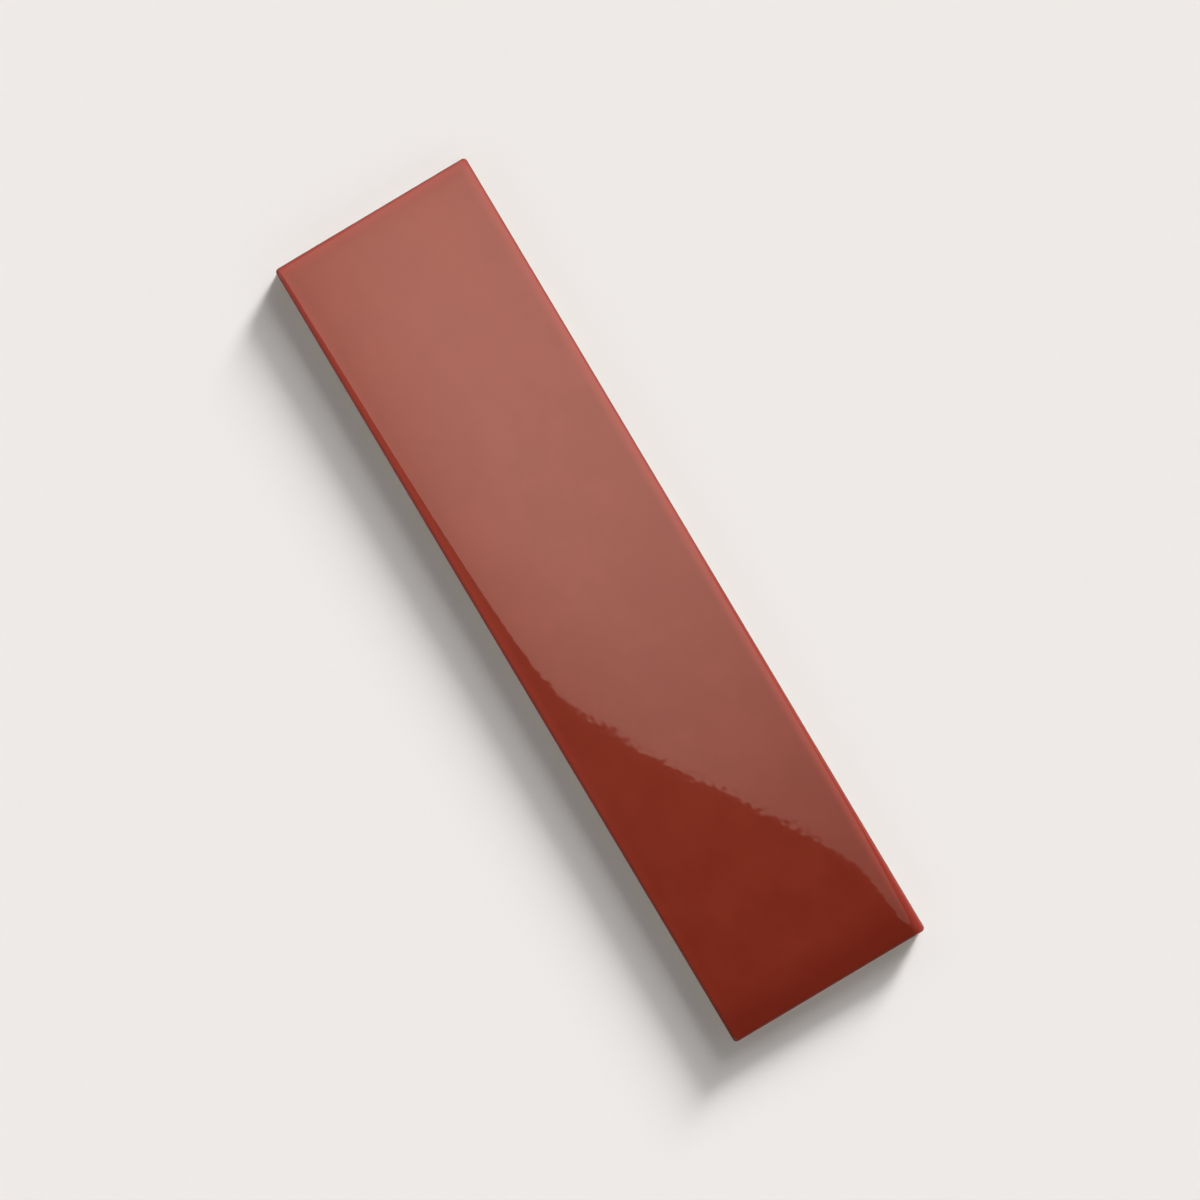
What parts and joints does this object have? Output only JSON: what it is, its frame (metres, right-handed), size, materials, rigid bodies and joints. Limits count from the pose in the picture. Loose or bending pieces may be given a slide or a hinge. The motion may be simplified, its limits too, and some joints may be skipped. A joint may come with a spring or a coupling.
{
  "type": "ceramic wall tile",
  "caption": "Long narrow rectangular glazed ceramic tile, flat face rolling off at its edges, keyed back, bedded in adhesive to cover a wall or floor.",
  "frame": {"origin": "middle of the bedding plane, the plane that the back of the tile rests on", "axes": "+X along the tile, +Y across it, +Z out of the glazed face"},
  "size_m": [0.3, 0.074, 0.008],
  "materials": {
    "glazed_body": "glossy brick-red glaze over the face, the edges and the tops of the sides, with a bare off-white fired body on the lower sides and the back"
  },
  "bodies": {
    "root": {"ceramic_tile": "glazed_body"}
  },
  "joints": []
}
